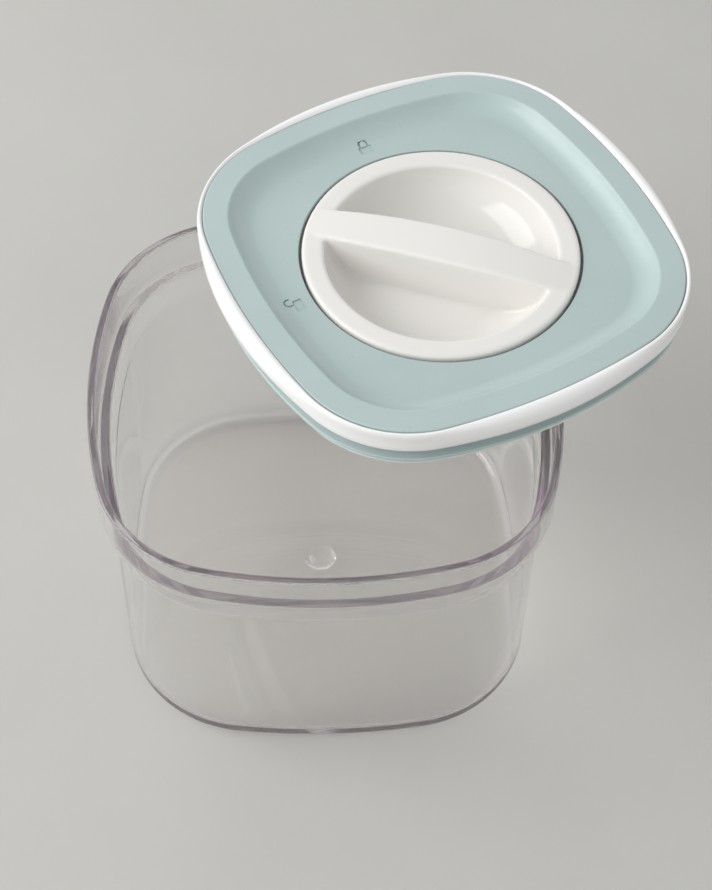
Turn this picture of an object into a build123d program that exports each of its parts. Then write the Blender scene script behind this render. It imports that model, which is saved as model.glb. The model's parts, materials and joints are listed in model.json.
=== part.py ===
from build123d import *
from math import atan2, cos, degrees, radians, sin, sqrt
import os

# Square food canister of clear plastic with a twist-to-seal lid. The lid lies
# level on the open rim, pushed back to the right and turned, with its knob in
# the open position. Millimetres, +Z up, origin at the middle of the base.

# Canister
canister_height = 103.3
rim_width = 150.0
rim_side_radius = 168.0
rim_corner_radius = 43.0
canister_wall = 2.7
floor_thickness = 3.0
collar_depth = 15.0
shoulder_depth = 12.0
shoulder_inset = 4.5
body_side_radius = 185.0
body_corner_radius = 40.5
base_taper = 0.9
base_side_radius = 232.0
base_corner_radius = 42.5
ledge_width = 3.6
ledge_edge_radius = 1.0
rim_edge_radius = 0.8
shoulder_radius = 4.0
base_edge_radius = 3.0
floor_corner_radius = 4.0

# Place of the lid on the rim
lid_shift_x = 37.8
lid_shift_y = 36.6
lid_turn = 26.2
rest_gap = 0.3

# Lid outline, at the white rim, and the inlaid cover
lid_width = 144.2
lid_side_radius = 141.0
lid_corner_radius = 41.5
cover_inset = 3.15
cover_side_radius = 192.5
cover_corner_radius = 35.3
cover_gap = 0.15

# Heights in the lid, above its underside
lid_depth = 20.8
rim_rise = 5.7
ring_rise = 5.2
plate_thickness = 1.8
plate_lift = 2.0

# Cover
cover_thickness = 1.8
cover_ring = 8.3
cover_slope = 6.8
field_width = 8.25
cover_wall = 2.0
cover_hole_gap = 1.1
cover_hole_edge = 1.0
cover_edge_radius = 1.5
cover_crest_radius = 1.2
cover_foot_radius = 5.0

# Frame
deck_gap = 0.2
deck_thickness = 1.8
frame_edge_radius = 0.7
bearing_gap = 0.3
bearing_wall = 2.2
seat_width = 1.6
seat_thickness = 1.8
guide_wall = 1.8
guide_foot_gap = 3.4
key_count = 3
key_width = 4.0
key_depth = 1.0
key_gap = 0.3

# Knob
knob_rise = 1.0
knob_edge_radius = 0.9
knob_ring_width = 6.4
knob_lip = 0.8
bowl_radius = 17.0
bowl_depth = 13.6
knob_wall = 2.0
ring_thickness = 2.2
skirt_thickness = 3.2
flange_reach = 2.9
flange_thickness = 1.3
flange_room = 1.1

# Grip bar across the knob
bar_angle = -44.6
bar_width = 15.4
bar_end_width = 11.8
bar_rise = 4.3
bar_end_rise = 0.75
bar_wall = 2.0
bar_edge_radius = 1.0
bar_hollow_end = 6.0

# Cam ring and lift ring
cam_inset = 5.8
cam_wall = 2.2
cam_flange_thickness = 1.5
cam_foot = 1.35
turn_travel = 90.0
pin_count = 3
pin_diameter = 2.4
pin_gap = 0.25
pin_stub = 0.8
pin_hole_gap = 0.05
lift_wall = 2.2
lift_foot_width = 8.4
lift_foot_thickness = 1.4
lift_pin_cover = 0.8
lift_foot_gap = 2.4
lift_running_gap = 0.3
slot_steps = 8

# Rings between the knob and the frame
slip_thickness = 0.7
slip_gap = 0.1
slip_side_gap = 0.2
seal_thickness = 0.9
seal_width = 1.3
seal_gap = 0.1

# Gasket and pressure plate
gasket_bead = 0.85
gasket_neck = 2.4
gasket_width = 5.0
gasket_neck_height = 2.0
gasket_flare_height = 1.6
gasket_bead_edge = 0.7
gasket_height = 6.6
flange_inset = 2.2
plate_flange_thickness = 1.8
plate_flange_edge = 1.5
pan_inset = 5.8
pan_taper = 6.0
pan_edge_radius = 2.5
rib_thickness = 1.1
rib_height = 1.8
rib_gap = 0.4

# Screws
cover_screw_diameter = 2.5
cover_screw_head = 4.4
cover_screw_head_height = 1.4
cover_screw_bite = 2.2
cover_screw_count = 4
cam_screw_diameter = 1.8
cam_screw_head = 3.2
cam_screw_head_height = 1.1
cam_screw_bite = 2.4
cam_screw_count = 6
lift_screw_diameter = 2.0
lift_screw_head = 3.4
lift_screw_head_height = 1.2
lift_screw_bite = 1.7
lift_screw_count = 6
boss_diameter = 5.0
screw_hole_gap = 0.1
screw_pilot_gap = 0.02
screw_tip_room = 0.3

# Length that a cut runs past a face, and how near a height an edge must lie
overrun = 1.0
level_tolerance = 0.01

# Radii and widths worked out from the sizes above
body_width = rim_width - 2 * shoulder_inset
base_width = body_width - 2 * base_taper
cover_width = lid_width - 2 * cover_inset
cover_foot_inset = cover_ring + cover_slope
cover_screw_circle = cover_width / 2 - cover_ring - cover_slope / 2
cover_hole_radius = cover_width / 2 - cover_foot_inset - field_width
knob_radius = cover_hole_radius - cover_hole_gap
seal_inner_radius = cover_hole_radius + slip_side_gap
seal_outer_radius = seal_inner_radius + seal_width
knob_flange_radius = knob_radius + flange_reach
bearing_radius = knob_flange_radius + bearing_gap
bearing_outer_radius = bearing_radius + bearing_wall
seat_radius = bearing_radius - seat_width
guide_outer_radius = seat_radius + guide_wall
skirt_inner_radius = knob_radius - skirt_thickness
cam_screw_circle = knob_radius - skirt_thickness / 2
cam_inner_radius = knob_radius - cam_inset
cam_outer_radius = cam_inner_radius + cam_wall
lift_inner_radius = cam_outer_radius + lift_running_gap
lift_outer_radius = lift_inner_radius + lift_wall
lift_foot_radius = cam_inner_radius - lift_foot_width
lift_screw_circle = cam_inner_radius - lift_foot_width / 2
pin_inner_radius = cam_inner_radius - pin_stub
key_tip_radius = lift_outer_radius - key_depth
key_reach = seat_radius - key_tip_radius
bowl_edge_radius = knob_radius - knob_ring_width - knob_lip

# Heights worked out from the sizes above
ledge_height = canister_height - collar_depth
shoulder_height = ledge_height - shoulder_depth
lid_underside = canister_height + rest_gap
field_height = lid_underside + lid_depth
deck_top = -cover_thickness - deck_gap
deck_bottom = deck_top - deck_thickness
plate_top = plate_thickness - lid_depth
gasket_foot = deck_bottom - gasket_height
flange_top = -cover_thickness - flange_room
flange_bottom = flange_top - flange_thickness
cam_flange_bottom = flange_bottom - cam_flange_thickness
slip_top = cam_flange_bottom - slip_gap
seat_top = slip_top - slip_thickness - slip_gap
guide_foot = plate_top + guide_foot_gap
lift_top = cam_flange_bottom - cam_screw_head_height - lift_running_gap - plate_lift - slip_gap
pin_height = lift_top - lift_pin_cover - pin_diameter / 2
cam_foot_height = pin_height - pin_diameter / 2 - pin_gap - cam_foot
lift_foot_top = cam_foot_height - lift_foot_gap
lift_foot_bottom = lift_foot_top - lift_foot_thickness

# The lid's own frame, on the middle of the cover's field, and its section
lid_plane = Plane(
    origin=(lid_shift_x, lid_shift_y, field_height),
    x_dir=(cos(radians(lid_turn)), sin(radians(lid_turn)), 0),
    z_dir=(0, 0, 1),
)
lid_section = Plane(origin=lid_plane.origin, x_dir=lid_plane.x_dir, z_dir=-lid_plane.y_dir)
lid_axis = Axis(lid_plane.origin, lid_plane.z_dir)

# The grip bar's frame, turned to the open position, and its long section
bar_plane = lid_plane.rotated((0, 0, bar_angle))
bar_section = Plane(origin=bar_plane.origin, x_dir=bar_plane.x_dir, z_dir=-bar_plane.y_dir)


def rounded_square(width, side_radius, corner_radius, inset=0.0):
    """Outline of four bowed sides and four round corners, drawn in by the inset."""
    side_centre = width / 2 - side_radius
    reach = side_radius - corner_radius
    corner_centre = (side_centre + sqrt(2 * reach**2 - side_centre**2)) / 2
    spread = degrees(atan2(corner_centre, corner_centre - side_centre))
    with BuildLine(Plane.XY) as outline:
        for turn in (0, 90, 180, 270):
            along = Vector(1, 0, 0).rotate(Axis.Z, turn)
            across = along.rotate(Axis.Z, 90)
            CenterArc(along * side_centre, side_radius - inset, turn - spread, 2 * spread)
            CenterArc(
                (along + across) * corner_centre,
                corner_radius - inset,
                turn + spread,
                90 - 2 * spread,
            )
    return outline.line


def lid_outline(inset=0.0):
    return rounded_square(lid_width, lid_side_radius, lid_corner_radius, inset)


def cover_outline(inset=0.0):
    return rounded_square(cover_width, cover_side_radius, cover_corner_radius, inset)


def rim_outline(inset=0.0):
    return rounded_square(rim_width, rim_side_radius, rim_corner_radius, inset)


def body_outline(inset=0.0):
    return rounded_square(body_width, body_side_radius, body_corner_radius, inset)


def base_outline(inset=0.0):
    return rounded_square(base_width, base_side_radius, base_corner_radius, inset)


def edges_at(part, height):
    """Edges of the part that lie level at the given height."""

    def lies_level(edge):
        box = edge.bounding_box()
        return max(abs(box.min.Z - height), abs(box.max.Z - height)) < level_tolerance

    return part.edges().filter_by(lies_level)


def longest_loop(part, height):
    """The outermost closed run of edges at the given height."""
    loops = Wire.combine(edges_at(part, height))
    return max(loops, key=lambda loop: loop.length).edges()


def shortest_loop(part, height):
    """The innermost closed run of edges at the given height."""
    loops = Wire.combine(edges_at(part, height))
    return min(loops, key=lambda loop: loop.length).edges()


# Canister: tapered body, rounded shoulder, upright collar with an inner ledge
with BuildPart() as canister:
    with BuildSketch(Plane.XY):
        make_face(base_outline())
    with BuildSketch(Plane.XY.offset(shoulder_height)):
        make_face(body_outline())
    loft(ruled=True)
    with BuildSketch(Plane.XY.offset(shoulder_height)):
        make_face(body_outline())
    with BuildSketch(Plane.XY.offset(ledge_height)):
        make_face(rim_outline())
    loft(ruled=True)
    with BuildSketch(Plane.XY.offset(ledge_height)):
        make_face(rim_outline())
    extrude(amount=collar_depth)
    fillet(edges_at(canister.part, ledge_height), shoulder_radius)
    fillet(edges_at(canister.part, shoulder_height), shoulder_radius)
    fillet(edges_at(canister.part, 0), base_edge_radius)
    with BuildSketch(Plane.XY.offset(floor_thickness)):
        make_face(base_outline(canister_wall))
    with BuildSketch(Plane.XY.offset(shoulder_height)):
        make_face(body_outline(canister_wall))
    loft(ruled=True, mode=Mode.SUBTRACT)
    with BuildSketch(Plane.XY.offset(shoulder_height)):
        make_face(body_outline(canister_wall))
    with BuildSketch(Plane.XY.offset(ledge_height)):
        make_face(rim_outline(canister_wall + ledge_width))
    loft(ruled=True, mode=Mode.SUBTRACT)
    with BuildSketch(Plane.XY.offset(ledge_height)):
        make_face(rim_outline(canister_wall))
    extrude(amount=collar_depth, mode=Mode.SUBTRACT)
    fillet(edges_at(canister.part, floor_thickness), floor_corner_radius)
    fillet(shortest_loop(canister.part, ledge_height), ledge_edge_radius)
    fillet(edges_at(canister.part, canister_height), rim_edge_radius)
canister.part.label = "canister"


# Frame of the lid: white outer rim, deck, knob bearing, guide wall with keys
with BuildPart() as lid_frame:
    with BuildSketch(lid_plane.offset(deck_bottom)):
        make_face(lid_outline())
    extrude(amount=rim_rise - deck_bottom)
    with BuildSketch(lid_plane.offset(deck_top)):
        make_face(cover_outline(-cover_gap))
    extrude(amount=rim_rise - deck_top, mode=Mode.SUBTRACT)
    with BuildSketch(lid_section):
        with BuildLine():
            Polyline(
                (0, deck_top),
                (bearing_outer_radius, deck_top),
                (bearing_outer_radius, seat_top - seat_thickness),
                (guide_outer_radius, seat_top - seat_thickness),
                (guide_outer_radius, guide_foot),
                (0, guide_foot),
                close=True,
            )
        make_face()
    revolve(axis=lid_axis)
    with BuildSketch(lid_plane.offset(deck_top)):
        Circle(bearing_radius)
    extrude(amount=seat_top - deck_top, mode=Mode.SUBTRACT)
    with BuildSketch(lid_plane.offset(seat_top)):
        Circle(seat_radius)
    extrude(amount=guide_foot - seat_top, mode=Mode.SUBTRACT)
    with BuildSketch(lid_plane.offset(guide_foot)):
        with PolarLocations(seat_radius - key_reach / 2, key_count):
            Rectangle(key_reach + guide_wall, key_width)
        Circle(key_tip_radius, mode=Mode.SUBTRACT)
        Circle(seat_radius + guide_wall / 2, mode=Mode.INTERSECT)
    extrude(amount=lift_top - guide_foot)
    with BuildSketch(lid_plane.offset(deck_bottom)):
        with PolarLocations(cover_screw_circle, cover_screw_count):
            Circle(cover_screw_diameter / 2 + screw_hole_gap)
    extrude(amount=deck_thickness, mode=Mode.SUBTRACT)
    fillet(longest_loop(lid_frame.part, field_height + rim_rise), frame_edge_radius)
    fillet(longest_loop(lid_frame.part, field_height + deck_bottom), frame_edge_radius)
lid_frame.part.label = "lid_frame"


# Cover: raised ring, slope down to the flat field, round hole for the knob
with BuildPart() as top_cover:
    with BuildSketch(lid_plane.offset(-cover_thickness)):
        make_face(cover_outline())
    extrude(amount=ring_rise + cover_thickness)
    with BuildSketch(lid_plane):
        make_face(cover_outline(cover_foot_inset))
    with BuildSketch(lid_plane.offset(ring_rise)):
        make_face(cover_outline(cover_ring))
    loft(ruled=True, mode=Mode.SUBTRACT)
    fillet(edges_at(top_cover.part, field_height), cover_foot_radius)
    fillet(shortest_loop(top_cover.part, field_height + ring_rise), cover_crest_radius)
    fillet(longest_loop(top_cover.part, field_height + ring_rise), cover_edge_radius)
    with BuildSketch(lid_plane.offset(-cover_thickness)):
        make_face(cover_outline(cover_wall))
        make_face(cover_outline(cover_ring - cover_wall), mode=Mode.SUBTRACT)
    extrude(amount=ring_rise, mode=Mode.SUBTRACT)
    with BuildSketch(lid_plane.offset(-cover_thickness)):
        Circle(cover_hole_radius)
    extrude(amount=cover_thickness, mode=Mode.SUBTRACT)
    fillet(edges_at(top_cover.part, field_height).filter_by(GeomType.CIRCLE), cover_hole_edge)
    with BuildSketch(lid_plane.offset(-cover_thickness)):
        with PolarLocations(cover_screw_circle, cover_screw_count):
            Circle(cover_screw_diameter / 2 + screw_pilot_gap)
    extrude(amount=cover_screw_bite + screw_tip_room, mode=Mode.SUBTRACT)
top_cover.part.label = "top_cover"


# Knob: crowned ring round a deep bowl, skirt and flange held under the cover
bowl_centre_height = bowl_radius - bowl_depth
bowl_edge_height = knob_rise - knob_lip
bowl_edge_drop = bowl_centre_height - bowl_edge_height
bowl_floor_radius = bowl_edge_radius - sqrt(bowl_radius**2 - bowl_edge_drop**2)
knob_underside = -bowl_depth - knob_wall
ring_underside = knob_rise - ring_thickness
bowl_back_radius = bowl_radius + knob_wall
bowl_back_drop = bowl_centre_height - ring_underside
bowl_back_edge = bowl_floor_radius + sqrt(bowl_back_radius**2 - bowl_back_drop**2)

with BuildPart() as knob:
    with BuildSketch(lid_section):
        with BuildLine():
            Line((0, knob_underside), (bowl_floor_radius, knob_underside))
            TangentArc(
                (bowl_floor_radius, knob_underside),
                (bowl_back_edge, ring_underside),
                tangent=(1, 0),
            )
            Polyline(
                (bowl_back_edge, ring_underside),
                (skirt_inner_radius, ring_underside),
                (skirt_inner_radius, flange_bottom),
                (knob_flange_radius, flange_bottom),
                (knob_flange_radius, flange_top),
                (knob_radius, flange_top),
                (knob_radius, knob_rise - knob_edge_radius),
            )
            TangentArc(
                (knob_radius, knob_rise - knob_edge_radius),
                (knob_radius - knob_edge_radius, knob_rise),
                tangent=(0, 1),
            )
            Line(
                (knob_radius - knob_edge_radius, knob_rise),
                (bowl_edge_radius + knob_lip, knob_rise),
            )
            TangentArc(
                (bowl_edge_radius, bowl_edge_height),
                (bowl_edge_radius + knob_lip, knob_rise),
                tangent=(0, 1),
            )
            TangentArc(
                (bowl_floor_radius, -bowl_depth),
                (bowl_edge_radius, bowl_edge_height),
                tangent=(1, 0),
            )
            Line((bowl_floor_radius, -bowl_depth), (0, -bowl_depth))
            Line((0, -bowl_depth), (0, knob_underside))
        make_face()
    revolve(axis=lid_axis)


def bar_side(drop):
    """Side view of the grip bar with its arched back, drawn in by the drop."""
    with BuildLine(Plane.XY) as outline:
        ThreePointArc(
            (-knob_radius, bar_end_rise - drop),
            (0, bar_rise - drop),
            (knob_radius, bar_end_rise - drop),
        )
        Polyline(
            (knob_radius, bar_end_rise - drop),
            (knob_radius, knob_underside),
            (-knob_radius, knob_underside),
            (-knob_radius, bar_end_rise - drop),
        )
    return outline.line


def bar_plan(drop):
    """Plan of the grip bar, widest in the middle, drawn in by the drop."""
    half_width = bar_width / 2 - drop
    half_end = bar_end_width / 2 - drop
    with BuildLine(Plane.XY) as outline:
        ThreePointArc((knob_radius, half_end), (0, half_width), (-knob_radius, half_end))
        Line((-knob_radius, half_end), (-knob_radius, -half_end))
        ThreePointArc((-knob_radius, -half_end), (0, -half_width), (knob_radius, -half_end))
        Line((knob_radius, -half_end), (knob_radius, half_end))
    return outline.line


# Grip bar, and the space that hollows it from below
with BuildPart() as grip_bar:
    with BuildSketch(bar_section):
        make_face(bar_side(0))
    extrude(amount=bar_width, both=True)
    with BuildSketch(bar_plane.offset(knob_underside)):
        make_face(bar_plan(0))
    extrude(amount=bar_rise - knob_underside, mode=Mode.INTERSECT)
    fillet(grip_bar.faces().sort_by(Axis.Z)[-1].edges(), bar_edge_radius)

with BuildPart() as bar_space:
    with BuildSketch(bar_section):
        make_face(bar_side(bar_wall))
    extrude(amount=bar_width, both=True)
    with BuildSketch(bar_plane.offset(knob_underside)):
        make_face(bar_plan(bar_wall))
        Circle(bowl_edge_radius - bar_hollow_end, mode=Mode.INTERSECT)
    extrude(amount=bar_rise - knob_underside, mode=Mode.INTERSECT)
    fillet(bar_space.faces().sort_by(Axis.Z)[-1].edges(), bar_edge_radius)

# The grip bar trimmed to the outside of the bowl and of the ring
with BuildPart() as trimmed_bar:
    with BuildSketch(lid_section):
        with BuildLine():
            Line((0, knob_underside), (bowl_floor_radius, knob_underside))
            TangentArc(
                (bowl_floor_radius, knob_underside),
                (bowl_back_edge, ring_underside),
                tangent=(1, 0),
            )
            Polyline(
                (bowl_back_edge, ring_underside),
                (knob_radius - knob_edge_radius, ring_underside),
                (knob_radius - knob_edge_radius, bar_rise),
                (0, bar_rise),
                (0, knob_underside),
            )
        make_face()
    revolve(axis=lid_axis)
    add(grip_bar.part, mode=Mode.INTERSECT)

with BuildPart() as hollow_knob:
    add(knob.part)
    add(trimmed_bar.part)
    add(bar_space.part, mode=Mode.SUBTRACT)
    with BuildSketch(lid_plane.offset(flange_bottom)):
        with PolarLocations(cam_screw_circle, cam_screw_count):
            Circle(cam_screw_diameter / 2 + screw_pilot_gap)
    extrude(amount=cam_screw_bite + screw_tip_room, mode=Mode.SUBTRACT)
hollow_knob.part.label = "knob"


# Cam ring: screwed under the knob, with one rising slot for each lift pin
slot_end = degrees((pin_diameter / 2 + pin_gap) / cam_inner_radius)
slot_turn = turn_travel + 2 * slot_end
first_pin_angle = 180 / key_count

with BuildPart() as cam_ring:
    with BuildSketch(lid_section):
        with BuildLine():
            Polyline(
                (cam_inner_radius, flange_bottom),
                (knob_flange_radius, flange_bottom),
                (knob_flange_radius, cam_flange_bottom),
                (cam_outer_radius, cam_flange_bottom),
                (cam_outer_radius, cam_foot_height),
                (cam_inner_radius, cam_foot_height),
                close=True,
            )
        make_face()
    revolve(axis=lid_axis)
    for pin in range(pin_count):
        for step in range(slot_steps + 1):
            slot_angle = slot_turn * step / slot_steps - slot_end
            slot_height = pin_height + plate_lift * slot_angle / turn_travel
            turned = lid_plane.rotated((0, 0, first_pin_angle + 360 * pin / pin_count + slot_angle))
            middle = turned.from_local_coords((cam_inner_radius + cam_wall / 2, 0, slot_height))
            with BuildSketch(Plane(origin=middle, x_dir=turned.x_dir, z_dir=turned.y_dir)):
                Rectangle(cam_wall + 2 * overrun, pin_diameter + 2 * pin_gap)
        loft(ruled=True, mode=Mode.SUBTRACT)
    with BuildSketch(lid_plane.offset(cam_flange_bottom)):
        with PolarLocations(cam_screw_circle, cam_screw_count):
            Circle(cam_screw_diameter / 2 + screw_hole_gap)
    extrude(amount=cam_flange_thickness, mode=Mode.SUBTRACT)
cam_ring.part.label = "cam_ring"


# Slip ring under the cam ring's flange, and seal ring over the knob's flange
with BuildPart() as slip_ring:
    with BuildSketch(lid_plane.offset(slip_top - slip_thickness)):
        Circle(bearing_radius - slip_side_gap)
        Circle(seat_radius + slip_side_gap, mode=Mode.SUBTRACT)
    extrude(amount=slip_thickness)
slip_ring.part.label = "slip_ring"

with BuildPart() as knob_seal_ring:
    with BuildSketch(lid_plane.offset(-cover_thickness - seal_gap - seal_thickness)):
        Circle(seal_outer_radius)
        Circle(seal_inner_radius, mode=Mode.SUBTRACT)
    extrude(amount=seal_thickness)
knob_seal_ring.part.label = "knob_seal_ring"


# Lift ring: keyed to the frame, carries the pins that ride in the cam slots
with BuildPart() as lift_ring:
    with BuildSketch(lid_section):
        with BuildLine():
            Polyline(
                (lift_foot_radius, lift_foot_bottom),
                (lift_outer_radius, lift_foot_bottom),
                (lift_outer_radius, lift_top),
                (lift_inner_radius, lift_top),
                (lift_inner_radius, lift_foot_top),
                (lift_foot_radius, lift_foot_top),
                close=True,
            )
        make_face()
    revolve(axis=lid_axis)
    with BuildSketch(lid_plane.offset(lift_foot_bottom)):
        with PolarLocations(seat_radius - key_reach / 2, key_count):
            Rectangle(key_reach + 2 * key_gap, key_width + 2 * key_gap)
    extrude(amount=lift_top - lift_foot_bottom, mode=Mode.SUBTRACT)
    with BuildSketch(lid_plane.offset(lift_foot_bottom)):
        with PolarLocations(lift_screw_circle, lift_screw_count):
            Circle(lift_screw_diameter / 2 + screw_hole_gap)
    extrude(amount=lift_foot_thickness, mode=Mode.SUBTRACT)
    for pin in range(pin_count):
        turned = lid_plane.rotated((0, 0, first_pin_angle + 360 * pin / pin_count))
        middle = turned.from_local_coords((lift_inner_radius - overrun, 0, pin_height))
        with BuildSketch(Plane(origin=middle, x_dir=turned.y_dir, z_dir=turned.x_dir)):
            Circle(pin_diameter / 2 + pin_hole_gap)
        extrude(amount=lift_wall + 2 * overrun, mode=Mode.SUBTRACT)
lift_ring.part.label = "lift_ring"

with BuildPart() as lift_pins:
    for pin in range(pin_count):
        turned = lid_plane.rotated((0, 0, first_pin_angle + 360 * pin / pin_count))
        middle = turned.from_local_coords((pin_inner_radius, 0, pin_height))
        with BuildSketch(Plane(origin=middle, x_dir=turned.y_dir, z_dir=turned.x_dir)):
            Circle(pin_diameter / 2)
        extrude(amount=lift_outer_radius - pin_inner_radius)
lift_pins.part.label = "lift_pins"


# Pressure plate: shallow pan with a flange under the gasket
with BuildPart() as pressure_plate:
    with BuildSketch(lid_plane.offset(-lid_depth)):
        make_face(lid_outline(pan_inset + pan_taper))
    with BuildSketch(lid_plane.offset(gasket_foot)):
        make_face(lid_outline(pan_inset))
    loft(ruled=True)
    fillet(edges_at(pressure_plate.part, lid_underside), pan_edge_radius)
    with BuildSketch(lid_plane.offset(gasket_foot - plate_flange_thickness)):
        make_face(lid_outline(flange_inset))
    extrude(amount=plate_flange_thickness)
    flange_foot = field_height + gasket_foot - plate_flange_thickness
    fillet(longest_loop(pressure_plate.part, flange_foot), plate_flange_edge)
    with BuildSketch(lid_plane.offset(plate_top)):
        make_face(lid_outline(pan_inset + pan_taper + plate_thickness))
    with BuildSketch(lid_plane.offset(gasket_foot)):
        make_face(lid_outline(pan_inset + plate_thickness))
    loft(ruled=True, mode=Mode.SUBTRACT)
    with BuildSketch(lid_plane.offset(gasket_foot)):
        make_face(lid_outline(gasket_bead + gasket_width + rib_gap))
        make_face(
            lid_outline(gasket_bead + gasket_width + rib_gap + rib_thickness),
            mode=Mode.SUBTRACT,
        )
    extrude(amount=rib_height)
    with BuildSketch(lid_plane.offset(plate_top)):
        with PolarLocations(lift_screw_circle, lift_screw_count):
            Circle(boss_diameter / 2)
    extrude(amount=lift_foot_bottom - plate_top)
    with BuildSketch(lid_plane.offset(lift_foot_bottom)):
        with PolarLocations(lift_screw_circle, lift_screw_count):
            Circle(lift_screw_diameter / 2 + screw_pilot_gap)
    extrude(amount=-lift_screw_bite - screw_tip_room, mode=Mode.SUBTRACT)
pressure_plate.part.label = "pressure_plate"


# Gasket: soft ring with a narrow neck above and a full bead below
with BuildPart() as gasket:
    with BuildSketch(lid_plane.offset(deck_bottom - gasket_neck_height)):
        make_face(lid_outline(gasket_neck))
    extrude(amount=gasket_neck_height)
    with BuildSketch(lid_plane.offset(deck_bottom - gasket_neck_height)):
        make_face(lid_outline(gasket_neck))
    bead_top = deck_bottom - gasket_neck_height - gasket_flare_height
    with BuildSketch(lid_plane.offset(bead_top)):
        make_face(lid_outline(gasket_bead))
    loft(ruled=True)
    with BuildSketch(lid_plane.offset(gasket_foot)):
        make_face(lid_outline(gasket_bead))
    extrude(amount=bead_top - gasket_foot)
    fillet(edges_at(gasket.part, field_height + bead_top), gasket_bead_edge)
    fillet(edges_at(gasket.part, field_height + gasket_foot), gasket_bead_edge)
    with BuildSketch(lid_plane.offset(gasket_foot)):
        make_face(lid_outline(gasket_bead + gasket_width))
    extrude(amount=gasket_height, mode=Mode.SUBTRACT)
gasket.part.label = "gasket"


# Cover screws: heads under the deck, shanks up into the cover
with BuildPart() as cover_screws:
    with BuildSketch(lid_plane.offset(deck_bottom - cover_screw_head_height)):
        with PolarLocations(cover_screw_circle, cover_screw_count):
            Circle(cover_screw_head / 2)
    extrude(amount=cover_screw_head_height)
    head_crown = field_height + deck_bottom - cover_screw_head_height
    fillet(edges_at(cover_screws.part, head_crown), cover_screw_head_height / 2)
    with BuildSketch(lid_plane.offset(deck_bottom)):
        with PolarLocations(cover_screw_circle, cover_screw_count):
            Circle(cover_screw_diameter / 2)
    extrude(amount=cover_screw_bite - cover_thickness - deck_bottom)
cover_screws.part.label = "cover_screws"


# Cam screws: heads under the cam ring's flange, shanks up into the knob's skirt
with BuildPart() as cam_screws:
    with BuildSketch(lid_plane.offset(cam_flange_bottom - cam_screw_head_height)):
        with PolarLocations(cam_screw_circle, cam_screw_count):
            Circle(cam_screw_head / 2)
    extrude(amount=cam_screw_head_height)
    head_crown = field_height + cam_flange_bottom - cam_screw_head_height
    fillet(edges_at(cam_screws.part, head_crown), cam_screw_head_height / 2)
    with BuildSketch(lid_plane.offset(cam_flange_bottom)):
        with PolarLocations(cam_screw_circle, cam_screw_count):
            Circle(cam_screw_diameter / 2)
    extrude(amount=cam_flange_thickness + cam_screw_bite)
cam_screws.part.label = "cam_screws"


# Lift ring screws: heads on the foot of the lift ring, shanks down into the plate
with BuildPart() as lift_ring_screws:
    with BuildSketch(lid_plane.offset(lift_foot_top)):
        with PolarLocations(lift_screw_circle, lift_screw_count):
            Circle(lift_screw_head / 2)
    extrude(amount=lift_screw_head_height)
    head_crown = field_height + lift_foot_top + lift_screw_head_height
    fillet(edges_at(lift_ring_screws.part, head_crown), lift_screw_head_height / 2)
    with BuildSketch(lid_plane.offset(lift_foot_top)):
        with PolarLocations(lift_screw_circle, lift_screw_count):
            Circle(lift_screw_diameter / 2)
    extrude(amount=-lift_foot_thickness - lift_screw_bite)
lift_ring_screws.part.label = "lift_ring_screws"

os.makedirs("parts", exist_ok=True)
pieces = [
    canister,
    gasket,
    pressure_plate,
    lift_ring,
    lift_pins,
    lift_ring_screws,
    lid_frame,
    cover_screws,
    slip_ring,
    top_cover,
    knob_seal_ring,
    hollow_knob,
    cam_ring,
    cam_screws,
]
for piece in pieces:
    export_step(piece.part, f"parts/{piece.part.label}.step")
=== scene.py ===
import bmesh
import bpy
import json
from math import atan2, cos, degrees, radians, sin, sqrt
from mathutils import Matrix, Vector

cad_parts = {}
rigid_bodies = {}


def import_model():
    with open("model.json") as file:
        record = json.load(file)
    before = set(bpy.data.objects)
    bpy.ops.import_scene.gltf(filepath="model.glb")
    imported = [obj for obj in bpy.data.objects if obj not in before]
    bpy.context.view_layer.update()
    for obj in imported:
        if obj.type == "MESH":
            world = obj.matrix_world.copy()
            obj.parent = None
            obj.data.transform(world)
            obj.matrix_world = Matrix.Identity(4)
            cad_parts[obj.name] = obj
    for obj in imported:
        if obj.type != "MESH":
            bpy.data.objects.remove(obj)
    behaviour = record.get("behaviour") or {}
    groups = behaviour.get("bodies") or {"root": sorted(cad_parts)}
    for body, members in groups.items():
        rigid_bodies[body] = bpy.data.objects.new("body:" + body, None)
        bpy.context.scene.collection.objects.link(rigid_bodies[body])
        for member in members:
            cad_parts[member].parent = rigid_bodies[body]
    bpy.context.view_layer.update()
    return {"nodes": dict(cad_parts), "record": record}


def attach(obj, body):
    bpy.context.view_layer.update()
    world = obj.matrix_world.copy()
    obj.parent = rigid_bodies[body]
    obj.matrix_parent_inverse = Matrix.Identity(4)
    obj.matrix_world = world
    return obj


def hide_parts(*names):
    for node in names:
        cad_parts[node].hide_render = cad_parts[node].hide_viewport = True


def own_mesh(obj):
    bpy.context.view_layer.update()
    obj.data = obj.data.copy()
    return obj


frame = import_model()
nodes = frame["nodes"]

# Pieces are drawn in millimetres; the scene is in metres
MM = 0.001

# Camera: the photograph's place and angle
CAMERA_PLACE = (-10.22 * MM, -401.14 * MM, 604.88 * MM)
CAMERA_AIM = (0.03044, 0.60070, -0.79889)
CAMERA_ROLL = 0.020974
CAMERA_LENS = 82.23
CAMERA_NEAR = 1 * MM

# Where the lid lies, in millimetres and degrees, and the knob's open position
LID_PLACE = (37.8, 36.6, 124.4)
LID_TURN = 26.2
BAR_TURN = -44.6

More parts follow.
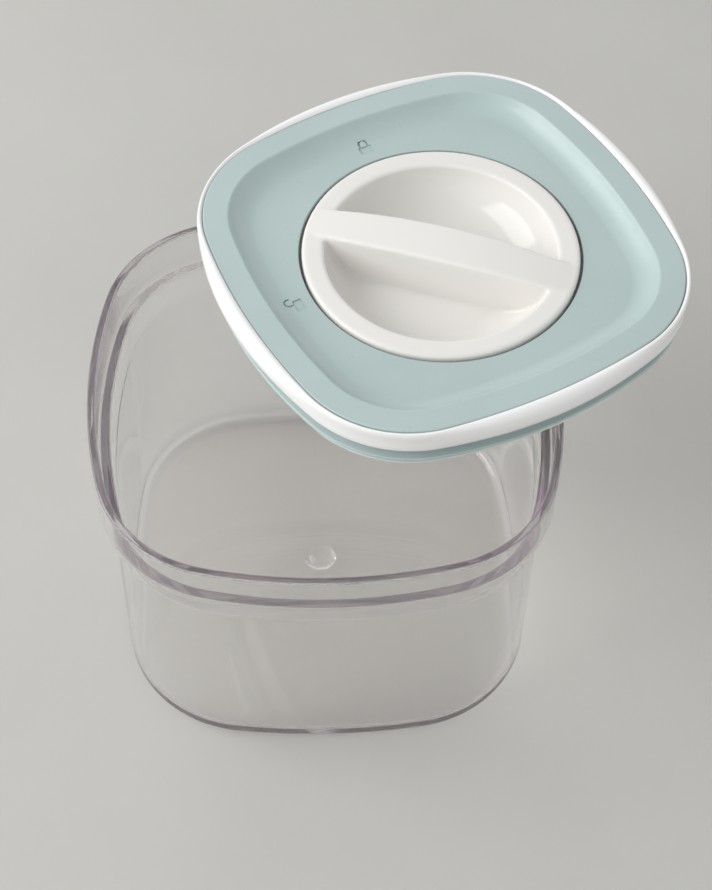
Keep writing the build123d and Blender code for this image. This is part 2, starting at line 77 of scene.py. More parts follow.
# Outlines: width, radius of the bowed sides, radius of the corners
LID_SHAPE = (144.2, 141.0, 41.5)
POCKET_SHAPE = (138.1, 192.6, 38.4)
COVER_SHAPE = (137.9, 192.5, 38.3)
RIM_SHAPE = (150.0, 168.0, 43.0)
BODY_SHAPE = (141.0, 185.0, 40.5)
BASE_SHAPE = (139.2, 232.0, 42.5)

# Steps along a side and round a corner of every closed outline
SIDE_STEPS = 38
CORNER_STEPS = 26
LOOP_POINTS = 4 * (SIDE_STEPS + CORNER_STEPS)

# An edge's rounding is kept as a share of this width, and outlines are lifted this far to be bridged
ROUNDING_UNIT = 10.0
LIFT = 60.0

# Points nearer than these become one, at the seam of an outline and in a whole shape
SEAM_GAP = 0.05
DOUBLE_GAP = 0.005

# How far off a place may be: where points and upright edges are picked, and where the bar's long edges are
HAIR = 0.01
SLACK = 0.1

# Edges that turn by more than this many degrees stay sharp
SHARP_TURN = 35

# The axis that a section in the XZ plane is swung about
ACROSS = (0, 1, 0)


def outline(shape, inset):
    """The eight arcs of a bowed square: middle, radius, first angle and sweep, in degrees."""
    width, side_radius, corner_radius = shape
    side_middle = width / 2 - side_radius
    reach = side_radius - corner_radius
    corner = (side_middle + sqrt(2 * reach**2 - side_middle**2)) / 2
    spread = degrees(atan2(corner, corner - side_middle))
    arcs = []
    for turn in (0, 90, 180, 270):
        c, s = cos(radians(turn)), sin(radians(turn))
        arcs.append(((side_middle * c, side_middle * s), side_radius - inset, turn - spread, 2 * spread))
        middle = (corner * c - corner * s, corner * s + corner * c)
        arcs.append((middle, corner_radius - inset, turn + spread, 90 - 2 * spread))
    return arcs


def between(first, second, share):
    """An outline's sizes, a share of the way from one outline to another."""
    return tuple(a + (b - a) * share for a, b in zip(first, second))


def drop_selection():
    bpy.ops.object.select_all(action="DESELECT")


def choose(piece):
    """Selects one piece alone and makes it the active one."""
    drop_selection()
    piece.select_set(True)
    bpy.context.view_layer.objects.active = piece


def begin(name):
    """A new piece, left in edit mode with nothing in it."""
    drop_selection()
    bpy.ops.mesh.primitive_plane_add(size=1)
    piece = bpy.context.object
    piece.name = name
    bpy.ops.object.mode_set(mode="EDIT")
    bpy.ops.mesh.select_mode(type="VERT")
    bpy.ops.mesh.delete(type="VERT")
    return piece


def pick(test):
    """Selects the points whose place passes the test."""
    bpy.ops.mesh.select_mode(type="VERT")
    bpy.ops.mesh.select_all(action="DESELECT")
    mesh = bmesh.from_edit_mesh(bpy.context.edit_object.data)
    for point in mesh.verts:
        if not point.hide:
            point.select_set(bool(test(point.co)))
    mesh.select_flush_mode()
    bmesh.update_edit_mesh(bpy.context.edit_object.data)


def anywhere(place):
    """The test that every point passes."""
    return True


def pick_edges(test):
    """Selects the edges whose two ends pass the test."""
    bpy.ops.mesh.select_mode(type="EDGE")
    bpy.ops.mesh.select_all(action="DESELECT")
    mesh = bmesh.from_edit_mesh(bpy.context.edit_object.data)
    for edge in mesh.edges:
        start, end = (point.co for point in edge.verts)
        edge.select_set(test(start, end))
    bmesh.update_edit_mesh(bpy.context.edit_object.data)


def pick_rows(*rows):
    """Selects whole outlines by their number; each is a vertex group of the piece."""
    bpy.ops.mesh.select_mode(type="VERT")
    bpy.ops.mesh.select_all(action="DESELECT")
    for row in rows:
        bpy.context.edit_object.vertex_groups.active_index = row
        bpy.ops.object.vertex_group_select()


def add_point(place):
    """A single point, from a small plane merged at its middle."""
    bpy.ops.mesh.select_all(action="DESELECT")
    bpy.ops.mesh.primitive_plane_add(size=1, location=place)
    bpy.ops.mesh.merge(type="CENTER")


def draw_by(step):
    bpy.ops.mesh.extrude_region_move(TRANSFORM_OT_translate={"value": step})


def swing(middle, sweep, steps, axis=(0, 0, 1)):
    """Spins what is selected about a middle; a positive sweep runs anticlockwise."""
    bpy.ops.mesh.spin(steps=steps, angle=-radians(sweep), center=middle, axis=axis)


def add_loop(shape, inset, height):
    """A closed outline of points: a bowed square drawn in by the inset, or a circle with that radius.

    A circle is an outline with no shape. It starts at the same angle as the lid's outline, and has as many
    points as a bowed square, so that a bridge from one to the other runs straight.
    """
    (x, y), radius, first, _ = outline(shape or LID_SHAPE, inset)[0]
    if shape:
        add_point((x + radius * cos(radians(first)), y + radius * sin(radians(first)), height))
        for number, (middle, _, _, sweep) in enumerate(outline(shape, inset)):
            swing((*middle, height), sweep, CORNER_STEPS if number % 2 else SIDE_STEPS)
    else:
        add_point((inset * cos(radians(first)), inset * sin(radians(first)), height))
        swing((0, 0, height), 360, LOOP_POINTS)
    bpy.ops.mesh.select_linked()
    if shape:
        bpy.ops.mesh.remove_doubles(threshold=SEAM_GAP)
    bpy.ops.object.vertex_group_assign_new()


def stack(name, loops, closed):
    """A piece of outlines bridged one to the next, and the last to the first where it is closed.

    Each outline is its shape, inset, height and how far its edge is rounded. The second of a pair is lifted
    while the two are bridged, because a bridge between level outlines may cross itself.
    """
    piece = begin(name)
    for shape, inset, height, _ in loops:
        add_loop(shape, inset, height)
    pairs = [(number, number + 1) for number in range(len(loops) - 1)]
    if closed:
        pairs.append((0, len(loops) - 1))
    for first, second in pairs:
        pick_rows(second)
        bpy.ops.transform.translate(value=(0, 0, LIFT))
        pick_rows(first, second)
        bpy.ops.mesh.bridge_edge_loops()
        pick_rows(second)
        bpy.ops.transform.translate(value=(0, 0, -LIFT))
    face_out()
    for row, (_, _, _, rounding) in enumerate(loops):
        if rounding:
            pick_rows(row)
            bpy.ops.transform.edge_bevelweight(value=rounding / ROUNDING_UNIT)
    return piece


def close_end(row):
    """One face over the open outline of that row."""
    pick_rows(row)
    bpy.ops.mesh.edge_face_add()


def use(piece, kind, **settings):
    """Adds a modifier with its settings and applies it."""
    modifier = piece.modifiers.new(kind.lower(), kind)
    for name, value in settings.items():
        setattr(modifier, name, value)
    bpy.ops.object.modifier_apply(modifier=modifier.name)


def combine(piece, other, operation):
    """Cuts or joins a piece with another, which is then gone."""
    choose(piece)
    use(piece, "BOOLEAN", operation=operation, solver="EXACT", object=other)
    bpy.data.objects.remove(other)


def round_edges(piece, segments):
    """Rounds each outline's edge as far as its row says."""
    bpy.ops.object.mode_set(mode="OBJECT")
    piece.vertex_groups.clear()
    use(
        piece,
        "BEVEL",
        limit_method="WEIGHT",
        width=ROUNDING_UNIT,
        segments=segments,
        use_clamp_overlap=False,
    )
    bpy.ops.object.mode_set(mode="EDIT")


def face_out():
    """Merges doubled points and turns every face outwards."""
    bpy.ops.mesh.select_mode(type="VERT")
    bpy.ops.mesh.select_all(action="SELECT")
    bpy.ops.mesh.remove_doubles(threshold=DOUBLE_GAP)
    bpy.ops.mesh.normals_make_consistent(inside=False)


def settle(piece, place=(0, 0, 0), turn=0.0):
    """Millimetres to metres, and into its place, with the object left at the origin."""
    piece.scale = (MM, MM, MM)
    piece.rotation_euler = (0, 0, radians(turn))
    piece.location = Vector(place) * MM
    choose(piece)
    bpy.ops.object.transform_apply(location=True, rotation=True, scale=True)


def end_piece(piece, place=(0, 0, 0), turn=0.0):
    """Puts a finished piece in its place, smooth but for its sharp edges."""
    face_out()
    bpy.ops.object.mode_set(mode="OBJECT")
    settle(piece, place, turn)
    bpy.ops.object.shade_smooth_by_angle(angle=radians(SHARP_TURN))
    use(piece, "WEIGHTED_NORMAL", keep_sharp=True)


# Canister: heights, wall, the ledge inside its collar, and where the floor's two inner circles lie
CANISTER_TOP = 103.3
LEDGE = 88.3
SHOULDER = 76.3
FLOOR = 3.0
WALL = 2.7
LEDGE_WIDTH = 3.6
FLOOR_MARGIN = 8
FLOOR_RING = 40
MARK_RING = 12
CANISTER_SEGMENTS = 6

# Outline, inset, height and rounding, up the outside from the foot and down the inside to the floor
CANISTER_ROWS = [
    (BASE_SHAPE, 0, 0, 4.6),
    (BODY_SHAPE, 0, SHOULDER, 1.4),
    (RIM_SHAPE, 0, LEDGE, 1.4),
    (RIM_SHAPE, 0, CANISTER_TOP, 0.8),
    (RIM_SHAPE, WALL, CANISTER_TOP, 0.8),
    (RIM_SHAPE, WALL, LEDGE, 0.6),
    (RIM_SHAPE, WALL + LEDGE_WIDTH, LEDGE, 1.0),
    (BODY_SHAPE, WALL, SHOULDER, 1.2),
    (BASE_SHAPE, WALL, FLOOR, 4.0),
    (BASE_SHAPE, WALL + FLOOR_MARGIN, FLOOR, 0),
    (None, FLOOR_RING, FLOOR, 0),
    (None, MARK_RING, FLOOR, 0),
]

# The moulding's round mark on the floor: radius and height over the floor, and its place from the middle
MARK_ROWS = [(5.5, 0), (5.3, 0.5), (4.8, 1.3), (3.9, 2.1), (2.6, 2.7), (1.4, 3.0), (0.8, 3.05)]
MARK_SHIFT = (-1.6, 1.9, 0)


def make_canister():
    """Clear shell with the moulding's small round mark on its floor."""
    mark = [(None, radius, FLOOR + rise, 0) for radius, rise in MARK_ROWS]
    piece = stack("canister_shell", CANISTER_ROWS + mark, closed=False)
    first = len(CANISTER_ROWS)
    last = first + len(mark) - 1
    pick_rows(*range(first, last + 1))
    bpy.ops.transform.translate(value=MARK_SHIFT)
    close_end(0)
    close_end(last)
    round_edges(piece, CANISTER_SEGMENTS)
    end_piece(piece)
    return piece


# White frame of the lid, with heights from the cover's field: the deck, the knob's bearing and the guide
DECK_TOP = -2.0
DECK_BOTTOM = -3.8
RIM_FOOT = -2.7
RIM_TUCK = 3.6
BEARING = 47.7
BEARING_WALL = 2.2
SEAT = 46.1
SEAT_WALL = 1.8
SEAT_TOP = -6.6
SEAT_THICKNESS = 1.8
GUIDE_FOOT = -15.6
FRAME_SEGMENTS = 3

# The rim's section: share of the way from the pocket to the lid's outline, and height
RIM_CREST = [(0.0, 4.9), (0.05, 5.3), (0.2, 5.7), (0.45, 6.0), (0.75, 5.9), (1.05, 5.4), (1.28, 4.6)]
RIM_WALL = [(1.42, 3.6), (1.5, 2.5), (1.5, 1.3), (1.45, 0.1), (1.33, -1.0), (1.13, -1.9), (0.85, -2.5)]

# The rim's corners hang lower: how far, how far along the rim, and from which points of the crest
CORNER_DROP = 0.8
CORNER_REACH = 46
CREST_LOW = 4.4
CREST_SPAN = 1
DECK_REACH = 60


def lower_corner(x, y):
    """Lowers the crest at the corner on that side in x and y, and less and less so away from it."""
    pick(lambda place: place.z < 0 or place.xy.length < DECK_REACH)
    bpy.ops.mesh.hide()
    pick(
        lambda place: place.z > CREST_LOW
        and abs(place.x * x - place.y * y) < CREST_SPAN
        and place.x * x > 0
    )
    bpy.ops.transform.translate(
        value=(0, 0, -CORNER_DROP),
        use_proportional_edit=True,
        proportional_edit_falloff="SMOOTH",
        proportional_size=CORNER_REACH,
    )
    bpy.ops.mesh.reveal()


def make_white_frame():
    """Convex rim round the cover's pocket, deck, and bearing for the knob."""
    loops = [(None, BEARING, DECK_TOP, 0), (POCKET_SHAPE, 0, DECK_TOP, 0)]
    for share, height in RIM_CREST + RIM_WALL:
        loops.append((between(POCKET_SHAPE, LID_SHAPE, share), 0, height, 0))
    loops += [
        (LID_SHAPE, RIM_TUCK, RIM_FOOT, 0),
        (LID_SHAPE, RIM_TUCK, DECK_BOTTOM, 0),
        (None, BEARING + BEARING_WALL, DECK_BOTTOM, 0),
        (None, BEARING + BEARING_WALL, SEAT_TOP - SEAT_THICKNESS, 0),
        (None, SEAT + SEAT_WALL, SEAT_TOP - SEAT_THICKNESS, 0),
        (None, SEAT + SEAT_WALL, GUIDE_FOOT, 0.4),
        (None, SEAT, GUIDE_FOOT, 0.4),
        (None, SEAT, SEAT_TOP, 0.2),
        (None, BEARING, SEAT_TOP, 0),
    ]
    piece = stack("white_frame", loops, closed=True)
    for x, y in ((1, 1), (-1, 1), (-1, -1), (1, -1)):
        lower_corner(x, y)
    round_edges(piece, FRAME_SEGMENTS)
    end_piece(piece, LID_PLACE, LID_TURN)
    return piece


# Teal cover: its flat ring, the slope down to its field at height 0, and the hole for the knob
COVER_FOOT = -1.8
RING_TOP = 5.2
RING_WIDTH = 8.2
SLOPE_END = 11.8
KNOB_HOLE = 45.45
COVER_SEGMENTS = 8
COVER_ROWS = [
    (COVER_SHAPE, 0, COVER_FOOT, 0.2),
    (COVER_SHAPE, 0, RING_TOP, 0.5),
    (COVER_SHAPE, RING_WIDTH, RING_TOP, 0.5),
    (COVER_SHAPE, SLOPE_END, 0, 4.5),
    (None, KNOB_HOLE, 0, 0.3),
    (None, KNOB_HOLE, COVER_FOOT, 0.2),
]

# Padlocks, shut and open: place on the field, turn in degrees, the shackle's shift aside, its leg's length
PADLOCKS = (
    ((0.6, 51.3), 0, 0.0, 1.1),
    ((-50.3, 0.9), 90, 2.1, 1.15),
)
LOCK_BODY = (4.8, 3.1)
LOCK_DEPTH = 0.5
LOCK_ROUND = 0.4
LOCK_SEGMENTS = 3
SHACKLE_REACH = 1.4
SHACKLE_WIDTH = 0.7
SHACKLE_LIFT = 0.4
SHACKLE_STEPS = 12


def place_cutter(cutter, spot, turn):
    bpy.ops.object.mode_set(mode="OBJECT")
    cutter.rotation_euler = (0, 0, radians(turn))
    cutter.location = (*spot, 0)
    bpy.ops.object.transform_apply(location=True, rotation=True, scale=True)
    return cutter


def make_lock_body(spot, turn):
    """Cutter for a padlock's body, with its upright edges rounded."""
    cutter = begin("lock_body")
    bpy.ops.mesh.primitive_cube_add(size=1, scale=(*LOCK_BODY, 2 * LOCK_DEPTH))
    pick_edges(lambda start, end: (start.xy - end.xy).length < HAIR)
    bpy.ops.mesh.bevel(offset=LOCK_ROUND, segments=LOCK_SEGMENTS, affect="EDGES")
    return place_cutter(cutter, spot, turn)


def make_shackle(spot, turn, slide, leg):
    """Cutter for a padlock's shackle: a strip spun half round, shifted aside with one leg free when open."""
    cutter = begin("shackle")
    height = LOCK_BODY[1] / 2 + leg
    free_leg = leg - (SHACKLE_LIFT if slide else 0)
    add_point((SHACKLE_REACH - SHACKLE_WIDTH / 2, height - free_leg, -LOCK_DEPTH))
    draw_by((SHACKLE_WIDTH, 0, 0))
    pick(anywhere)
    draw_by((0, free_leg, 0))
    swing((0, height, -LOCK_DEPTH), 180, SHACKLE_STEPS)
    draw_by((0, -leg, 0))
    bpy.ops.mesh.select_all(action="SELECT")
    draw_by((0, 0, 2 * LOCK_DEPTH))
    bpy.ops.mesh.select_all(action="SELECT")
    bpy.ops.transform.translate(value=(slide, 0, 0))
    face_out()
    return place_cutter(cutter, spot, turn)


def make_cover():
    """Teal cover: flat ring, slope down to the field, round hole, padlocks sunk into the field."""
    piece = stack("teal_cover", COVER_ROWS, closed=True)
    round_edges(piece, COVER_SEGMENTS)
    face_out()
    bpy.ops.object.mode_set(mode="OBJECT")
    for spot, turn, slide, leg in PADLOCKS:
        for cutter in (make_lock_body(spot, turn), make_shackle(spot, turn, slide, leg)):
            combine(piece, cutter, "DIFFERENCE")
    bpy.ops.object.mode_set(mode="EDIT")
    end_piece(piece, LID_PLACE, LID_TURN)
    return piece


# Knob: its wall and bowl, as radii, heights from the cover's field and roundings
KNOB = 44.5
KNOB_TOP = 1.0
KNOB_ROUND = 0.9
BOWL_EDGE = 37.3
BOWL_LIP = 0.8
BOWL_FLOOR = 20.6
BOWL_DEPTH = 13.6
BOWL_ROUND = 17.0
BOWL_STEPS = 16
CREST_STEPS = 5
TURN_STEPS = 192

# The flange under the cover, the hub below it, and the steps inwards and down from there to the middle
FLANGE = 2.9
FLANGE_TOP = -4.1
FLANGE_THICKNESS = 1.3
HUB = 38.6
UNDERSIDE_STEPS = ((-1.0, 0), (-6.0, -8.6), (-11.0, -2.8), (-20.6, 0))

# Grip bar: widest and highest in the middle, with its foot sunk into the bowl
BAR_WIDTH = 15.4
BAR_END_WIDTH = 11.8
BAR_TOP = 4.3
BAR_END_TOP = 0.75
BAR_REACH = 43.7
BAR_STEPS = 36
BAR_SINK = 0.9
BAR_ROUND = 1.0
BAR_SEGMENTS = 4

# The knob and its bar are blended on a grid of this size
KNOB_GRID = 0.52
BLEND_FACTOR = 0.5
BLEND_PASSES = 6


def bowl_height(distance):
    """Height of the bowl's surface at a distance from the knob's middle."""
    if distance <= BOWL_FLOOR:
        return -BOWL_DEPTH
    if distance >= BOWL_EDGE:
        return KNOB_TOP - KNOB_ROUND
    return BOWL_ROUND - BOWL_DEPTH - sqrt(BOWL_ROUND**2 - (distance - BOWL_FLOOR) ** 2)


def bar_section(x):
    """Half width, top and foot of the grip bar at a place along it."""
    share = (x / KNOB) ** 2
    half = (BAR_WIDTH + (BAR_END_WIDTH - BAR_WIDTH) * share) / 2
    return half, BAR_TOP + (BAR_END_TOP - BAR_TOP) * share, bowl_height(abs(x)) - BAR_SINK


def upper_edge(start, end):
    """Whether an edge of the bar runs along it at its top."""
    upper = min(start.z, end.z) > BAR_END_TOP - SLACK
    return upper and abs(start.x - end.x) > SLACK and start.y * end.y > 0


def make_bar():
    """Grip bar: an end face drawn out step by step, highest and widest in the middle."""
    piece = begin("bar")
    half, top, foot = bar_section(BAR_REACH)
    add_point((-BAR_REACH, -half, foot))
    draw_by((0, 2 * half, 0))
    pick(anywhere)
    draw_by((0, 0, top - foot))
    pick(anywhere)
    for number in range(BAR_STEPS):
        x = -BAR_REACH + 2 * BAR_REACH * (number + 1) / BAR_STEPS
        before, old_top, old_foot = half, top, foot
        half, top, foot = bar_section(x)
        draw_by((2 * BAR_REACH / BAR_STEPS, 0, 0))
        bpy.ops.transform.resize(value=(1, half / before, 1), center_override=(x, 0, 0))
        pick(lambda place: place.x > x - HAIR and place.z > (old_top + old_foot) / 2)
        bpy.ops.transform.translate(value=(0, 0, top - old_top))
        pick(lambda place: place.x > x - HAIR and place.z < (old_top + old_foot) / 2)
        bpy.ops.transform.translate(value=(0, 0, foot - old_foot))
        pick(lambda place: place.x > x - HAIR)
    face_out()
    pick_edges(upper_edge)
    bpy.ops.mesh.bevel(offset=BAR_ROUND, segments=BAR_SEGMENTS, affect="EDGES")
    face_out()
    bpy.ops.object.mode_set(mode="OBJECT")
    return piece


def make_knob():
    """Knob: a spun section with a deep bowl, joined with its grip bar and blended."""
    piece = begin("knob_shell")
    add_point((0, 0, -BOWL_DEPTH))
    draw_by((BOWL_FLOOR, 0, 0))
    lip = KNOB_TOP - BOWL_LIP
    sweep = 90 - degrees(atan2(BOWL_ROUND - BOWL_DEPTH - lip, BOWL_EDGE - BOWL_FLOOR))
    swing((BOWL_FLOOR, 0, BOWL_ROUND - BOWL_DEPTH), -sweep, BOWL_STEPS, ACROSS)
    swing((BOWL_EDGE + BOWL_LIP, 0, lip), 90, CREST_STEPS, ACROSS)
    draw_by((KNOB - KNOB_ROUND - BOWL_EDGE - BOWL_LIP, 0, 0))
    swing((KNOB - KNOB_ROUND, 0, KNOB_TOP - KNOB_ROUND), 90, CREST_STEPS, ACROSS)
    draw_by((0, 0, FLANGE_TOP - KNOB_TOP + KNOB_ROUND))
    draw_by((FLANGE, 0, 0))
    draw_by((0, 0, -FLANGE_THICKNESS))
    draw_by((HUB - KNOB - FLANGE, 0, 0))
    for inwards, down in UNDERSIDE_STEPS:
        draw_by((inwards, 0, down))
    bpy.ops.mesh.select_all(action="SELECT")
    swing((0, 0, 0), 360, TURN_STEPS)
    face_out()
    bpy.ops.object.mode_set(mode="OBJECT")
    bar = make_bar()
    combine(piece, bar, "UNION")
    use(piece, "REMESH", mode="VOXEL", voxel_size=KNOB_GRID)
    use(piece, "SMOOTH", factor=BLEND_FACTOR, iterations=BLEND_PASSES)
    settle(piece, LID_PLACE, LID_TURN + BAR_TURN)
    bpy.ops.object.shade_smooth()
    return piece


# Gasket: insets of its groove, its lip, its neck below the lip and its inner side, and their heights
GASKET_GROOVE = 4.8
GASKET_LIP = 1.2
GASKET_NECK = 4.2
GASKET_INSIDE = 6.4
GROOVE_FOOT = -7.6
LIP_TOP = -8.0
LIP_FOOT = -9.2
NECK_TOP = -9.5
GASKET_FOOT = -10.4
GASKET_SEGMENTS = 5
GASKET_ROWS = [
    (LID_SHAPE, GASKET_GROOVE, DECK_BOTTOM, 0),
    (LID_SHAPE, GASKET_GROOVE, GROOVE_FOOT, 0.9),
    (LID_SHAPE, GASKET_LIP, LIP_TOP, 0.4),
    (LID_SHAPE, GASKET_LIP, LIP_FOOT, 0.45),
    (LID_SHAPE, GASKET_NECK, NECK_TOP, 0.4),
    (LID_SHAPE, GASKET_NECK, GASKET_FOOT, 0),
    (LID_SHAPE, GASKET_INSIDE, GASKET_FOOT, 0.3),
    (LID_SHAPE, GASKET_INSIDE, DECK_BOTTOM, 0),
]


def make_gasket():
    """Soft ring: a deep groove under the deck, a thin lip that stands out, and a short neck below it."""
    piece = stack("gasket_ring", GASKET_ROWS, closed=True)
    round_edges(piece, GASKET_SEGMENTS)
    end_piece(piece, LID_PLACE, LID_TURN)
    return piece


# Materials: the part of a noise's range that a roughness or a cloudy colour takes up
ROUGH_SPAN = (0.3, 0.7)
CLOUD_SPAN = (0.35, 0.65)

# Detail of the noises, how much smaller gloss marks are than clouds, and depth of the grain in millimetres
CLOUD_DETAIL = 2
GLOSS_DETAIL = 4
GRAIN_DETAIL = 3
GLOSS_SHARE = 6
GRAIN_DEPTH = 0.05


def new_material(name):
    made = bpy.data.materials.new(name)
    made.use_nodes = True
    tree = made.node_tree
    return made, tree, tree.nodes["Principled BSDF"]


def noise(tree, size, detail=CLOUD_DETAIL):
    """Noise on Object coordinates, with marks of about the given size in millimetres."""
    place = tree.nodes.new("ShaderNodeTexCoord")
    texture = tree.nodes.new("ShaderNodeTexNoise")
    texture.inputs["Scale"].default_value = 1 / (size * MM)
    texture.inputs["Detail"].default_value = detail
    tree.links.new(place.outputs["Object"], texture.inputs["Vector"])
    return texture


def spread(tree, source, low, high, socket):
    """Maps a noise to a range of plain values."""
    ranged = tree.nodes.new("ShaderNodeMapRange")
    ranged.inputs["From Min"].default_value = ROUGH_SPAN[0]
    ranged.inputs["From Max"].default_value = ROUGH_SPAN[1]
    ranged.inputs["To Min"].default_value = low
    ranged.inputs["To Max"].default_value = high
    tree.links.new(source.outputs["Fac"], ranged.inputs["Value"])
    tree.links.new(ranged.outputs["Result"], socket)


def ramp_between(tree, span, first, second):
    """A colour ramp from one colour to another over a span of its input."""
    ramp = tree.nodes.new("ShaderNodeValToRGB")
    for element, position, colour in zip(ramp.color_ramp.elements, span, (first, second)):
        element.position = position
        element.color = (*colour, 1)
    return ramp


def shade_between(tree, source, first, second, socket):
    """Colours a socket by a noise, from one colour to another."""
    ramp = ramp_between(tree, CLOUD_SPAN, first, second)
    tree.links.new(source.outputs["Fac"], ramp.inputs["Fac"])
    tree.links.new(ramp.outputs["Color"], socket)


def grain(tree, size, strength, depth, shader):
    """Fine bumps, of that size and depth in millimetres."""
    bump = tree.nodes.new("ShaderNodeBump")
    bump.inputs["Strength"].default_value = strength
    bump.inputs["Distance"].default_value = depth * MM
    tree.links.new(noise(tree, size, GRAIN_DETAIL).outputs["Fac"], bump.inputs["Height"])
    tree.links.new(bump.outputs["Normal"], shader.inputs["Normal"])


def moulded(name, colour, other, rough, marks, grain_size, grain_strength, **fixed):
    """Moulded plastic: cloudy colour, uneven gloss and the tool's fine grain."""
    made, tree, shader = new_material(name)
    shade_between(tree, noise(tree, marks), colour, other, shader.inputs["Base Color"])
    gloss = noise(tree, marks / GLOSS_SHARE, GLOSS_DETAIL)
    spread(tree, gloss, rough[0], rough[1], shader.inputs["Roughness"])
    grain(tree, grain_size, grain_strength, GRAIN_DEPTH, shader)
    for socket, value in fixed.items():
        shader.inputs[socket.replace("_", " ")].default_value = value
    return made


# Clear plastic: its own colour, gloss and faint waves, with sizes in millimetres
CLEAR_COLOUR = (0.952, 0.952, 0.943, 1)
CLEAR_TRANSMISSION = 0.98
CLEAR_IOR = 1.5
CLEAR_ROUGH = (0.0, 0.012)
CLEAR_MARKS = 30
WAVE_SIZE = 14
WAVE_STRENGTH = 0.05
WAVE_DEPTH = 0.04

# What its walls let through to the shadow, from straight through to along them, and what its depth takes up
SHADOW_SPAN = (0.5, 0.98)
SHADOW_THROUGH = (0.92, 0.915, 0.91)
SHADOW_ALONG = (0.3, 0.29, 0.3)
DEPTH_COLOUR = (0.765, 0.705, 0.76, 1)
DEPTH_DENSITY = 24


def make_clear():
    """Clear plastic, faintly violet in its thick edges.

    Its shadow is light, and darker where the light runs along its walls.
    """
    made, tree, shader = new_material("clear_canister")
    shader.inputs["Base Color"].default_value = CLEAR_COLOUR
    shader.inputs["Transmission Weight"].default_value = CLEAR_TRANSMISSION
    shader.inputs["IOR"].default_value = CLEAR_IOR
    spread(tree, noise(tree, CLEAR_MARKS), *CLEAR_ROUGH, shader.inputs["Roughness"])
    grain(tree, WAVE_SIZE, WAVE_STRENGTH, WAVE_DEPTH, shader)
    path = tree.nodes.new("ShaderNodeLightPath")
    clear = tree.nodes.new("ShaderNodeBsdfTransparent")
    facing = tree.nodes.new("ShaderNodeLayerWeight")
    shade = ramp_between(tree, SHADOW_SPAN, SHADOW_THROUGH, SHADOW_ALONG)
    tree.links.new(facing.outputs["Facing"], shade.inputs["Fac"])
    tree.links.new(shade.outputs["Color"], clear.inputs["Color"])
    mixed = tree.nodes.new("ShaderNodeMixShader")
    output = tree.nodes["Material Output"]
    tree.links.new(path.outputs["Is Shadow Ray"], mixed.inputs[0])
    tree.links.new(shader.outputs["BSDF"], mixed.inputs[1])
    tree.links.new(clear.outputs["BSDF"], mixed.inputs[2])
    tree.links.new(mixed.outputs["Shader"], output.inputs["Surface"])
    absorbed = tree.nodes.new("ShaderNodeVolumeAbsorption")
    absorbed.inputs["Color"].default_value = DEPTH_COLOUR
    absorbed.inputs["Density"].default_value = DEPTH_DENSITY
    tree.links.new(absorbed.outputs["Volume"], output.inputs["Volume"])
    return made


def dress(piece, material, slot="", body="", *stands_for):
    """Gives a piece its material, and its place in the part where it stands for nodes of the frame."""
    piece.data.materials.clear()
    piece.data.materials.append(material)
    if stands_for:
        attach(piece, body)
        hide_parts(*stands_for)


def make_camera():
    turn = Vector(CAMERA_AIM).to_track_quat("-Z", "Y").to_matrix() @ Matrix.Rotation(CAMERA_ROLL, 3, "Z")
    bpy.ops.object.camera_add(location=CAMERA_PLACE, rotation=turn.to_euler())
    camera = bpy.context.object
    camera.data.lens = CAMERA_LENS
    camera.data.clip_start = CAMERA_NEAR
    bpy.context.scene.camera = camera


# Floor: its width in metres, its gap under the canister, and its pale colours, clouds and gloss
FLOOR_SIZE = 40
FLOOR_GAP = 0.06 * MM
FLOOR_COLOUR = (0.502, 0.497, 0.473)
FLOOR_CLOUD = (0.522, 0.517, 0.492)
FLOOR_MARKS = 90
FLOOR_DETAIL = 6
FLOOR_ROUGH = 0.8

# Studio: world strength low and high in the sky, and the soft window at the left, in metres and watts
WORLD_COLOUR = (1, 1, 1, 1)
HORIZON = 1.08
ZENITH = 0.48
LAMP_PLACE = (-1.0, -0.04, 0.8)
LAMP_AIM = (0.03, 0.03, 0.12)
LAMP_SIZE = (1.15, 0.95)
LAMP_POWER = 12.3

# Light bounces, so that the clear plastic's edges don't turn black
LIGHT_BOUNCES = 24
DIFFUSE_BOUNCES = 8


def make_floor():
    """Pale floor under the canister."""
    drop_selection()
    bpy.ops.mesh.primitive_plane_add(size=FLOOR_SIZE, location=(0, 0, -FLOOR_GAP))
    floor = bpy.context.object
    floor.name = "floor"
    made, tree, shader = new_material("pale_floor")
    clouds = noise(tree, FLOOR_MARKS, FLOOR_DETAIL)
    shade_between(tree, clouds, FLOOR_COLOUR, FLOOR_CLOUD, shader.inputs["Base Color"])
    shader.inputs["Roughness"].default_value = FLOOR_ROUGH
    floor.data.materials.append(made)


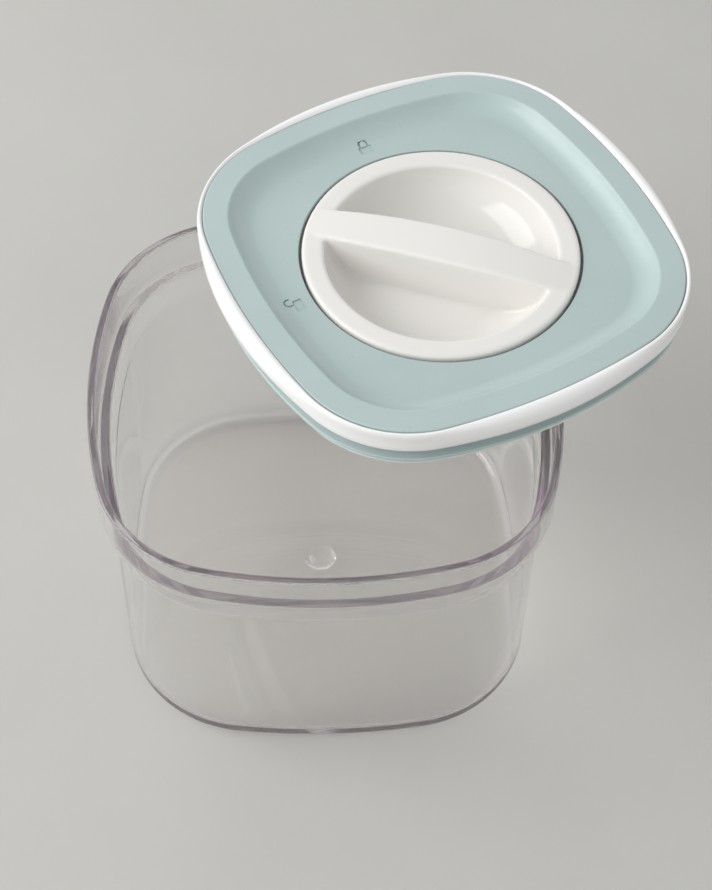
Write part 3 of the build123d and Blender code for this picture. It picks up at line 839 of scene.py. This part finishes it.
def make_studio():
    """Even white surroundings, weaker overhead, and a soft window of light from the left."""
    world = bpy.data.worlds.new("studio")
    bpy.context.scene.world = world
    world.use_nodes = True
    tree = world.node_tree
    background = tree.nodes["Background"]
    background.inputs["Color"].default_value = WORLD_COLOUR
    place = tree.nodes.new("ShaderNodeTexCoord")
    parts = tree.nodes.new("ShaderNodeSeparateXYZ")
    fade = tree.nodes.new("ShaderNodeMapRange")
    fade.inputs["To Min"].default_value = HORIZON
    fade.inputs["To Max"].default_value = ZENITH
    tree.links.new(place.outputs["Generated"], parts.inputs["Vector"])
    tree.links.new(parts.outputs["Z"], fade.inputs["Value"])
    tree.links.new(fade.outputs["Result"], background.inputs["Strength"])
    bpy.ops.object.light_add(type="AREA", location=LAMP_PLACE)
    lamp = bpy.context.object
    lamp.data.shape = "RECTANGLE"
    lamp.data.size = LAMP_SIZE[0]
    lamp.data.size_y = LAMP_SIZE[1]
    lamp.data.energy = LAMP_POWER
    lamp.rotation_euler = (Vector(LAMP_AIM) - Vector(LAMP_PLACE)).to_track_quat("-Z", "Y").to_euler()


def set_light_paths():
    """View transform, and how often light may bounce."""
    scene = bpy.context.scene
    scene.view_settings.view_transform = "Standard"
    scene.cycles.max_bounces = LIGHT_BOUNCES
    scene.cycles.diffuse_bounces = DIFFUSE_BOUNCES
    scene.cycles.glossy_bounces = LIGHT_BOUNCES
    scene.cycles.transmission_bounces = LIGHT_BOUNCES
    scene.cycles.transparent_max_bounces = LIGHT_BOUNCES


# Finishes
white = moulded(
    "white_rim_plastic",
    colour=(0.86, 0.86, 0.86),
    other=(0.88, 0.88, 0.88),
    rough=(0.09, 0.14),
    marks=40,
    grain_size=3,
    grain_strength=0.03,
)
teal = moulded(
    "teal_cover_plastic",
    colour=(0.425, 0.527, 0.517),
    other=(0.445, 0.547, 0.537),
    rough=(0.27, 0.36),
    marks=30,
    grain_size=0.35,
    grain_strength=0.12,
)
knob_finish = moulded(
    "knob_finish",
    colour=(0.78, 0.765, 0.735),
    other=(0.8, 0.785, 0.755),
    rough=(0.07, 0.12),
    marks=40,
    grain_size=4,
    grain_strength=0.03,
    Specular_IOR_Level=0.4,
)
rubber = moulded(
    "gasket_silicone",
    colour=(0.425, 0.525, 0.515),
    other=(0.455, 0.555, 0.545),
    rough=(0.32, 0.42),
    marks=25,
    grain_size=0.5,
    grain_strength=0.1,
)
plate = moulded(
    "plate_finish",
    colour=(0.78, 0.8, 0.8),
    other=(0.81, 0.83, 0.83),
    rough=(0.16, 0.26),
    marks=40,
    grain_size=2,
    grain_strength=0.05,
)
bearing = moulded(
    "bearing_finish",
    colour=(0.68, 0.68, 0.66),
    other=(0.72, 0.72, 0.7),
    rough=(0.35, 0.5),
    marks=15,
    grain_size=0.4,
    grain_strength=0.2,
)
steel = moulded(
    "screw_steel",
    colour=(0.5, 0.5, 0.51),
    other=(0.6, 0.6, 0.61),
    rough=(0.22, 0.4),
    marks=2,
    grain_size=0.15,
    grain_strength=0.25,
    Metallic=1.0,
)
clear = make_clear()

# Nodes of the frame take the finish of their slot; those that a piece replaces don't show
finish_of_slot = {
    "plate_plastic": plate,
    "bearing_plastic": bearing,
    "steel": steel,
    "gasket_rubber": rubber,
    "knob_plastic": knob_finish,
    "white_plastic": white,
    "teal_plastic": teal,
    "clear_plastic": clear,
}
for part in frame["record"]["subparts"]:
    dress(nodes[part["node"]], finish_of_slot[part["material_slot"]])

# Pieces modelled anew
dress(make_canister(), clear, "clear_plastic", "canister_body", "canister")
dress(make_white_frame(), white, "white_plastic", "lid", "lid_frame")
dress(make_cover(), teal, "teal_plastic", "lid", "top_cover")
dress(make_knob(), knob_finish, "knob_plastic", "knob_body", "knob")
gasket = make_gasket()
dress(gasket, rubber, "gasket_rubber", "lid", "gasket")
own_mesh(gasket)

make_camera()
make_floor()
make_studio()
set_light_paths()
drop_selection()
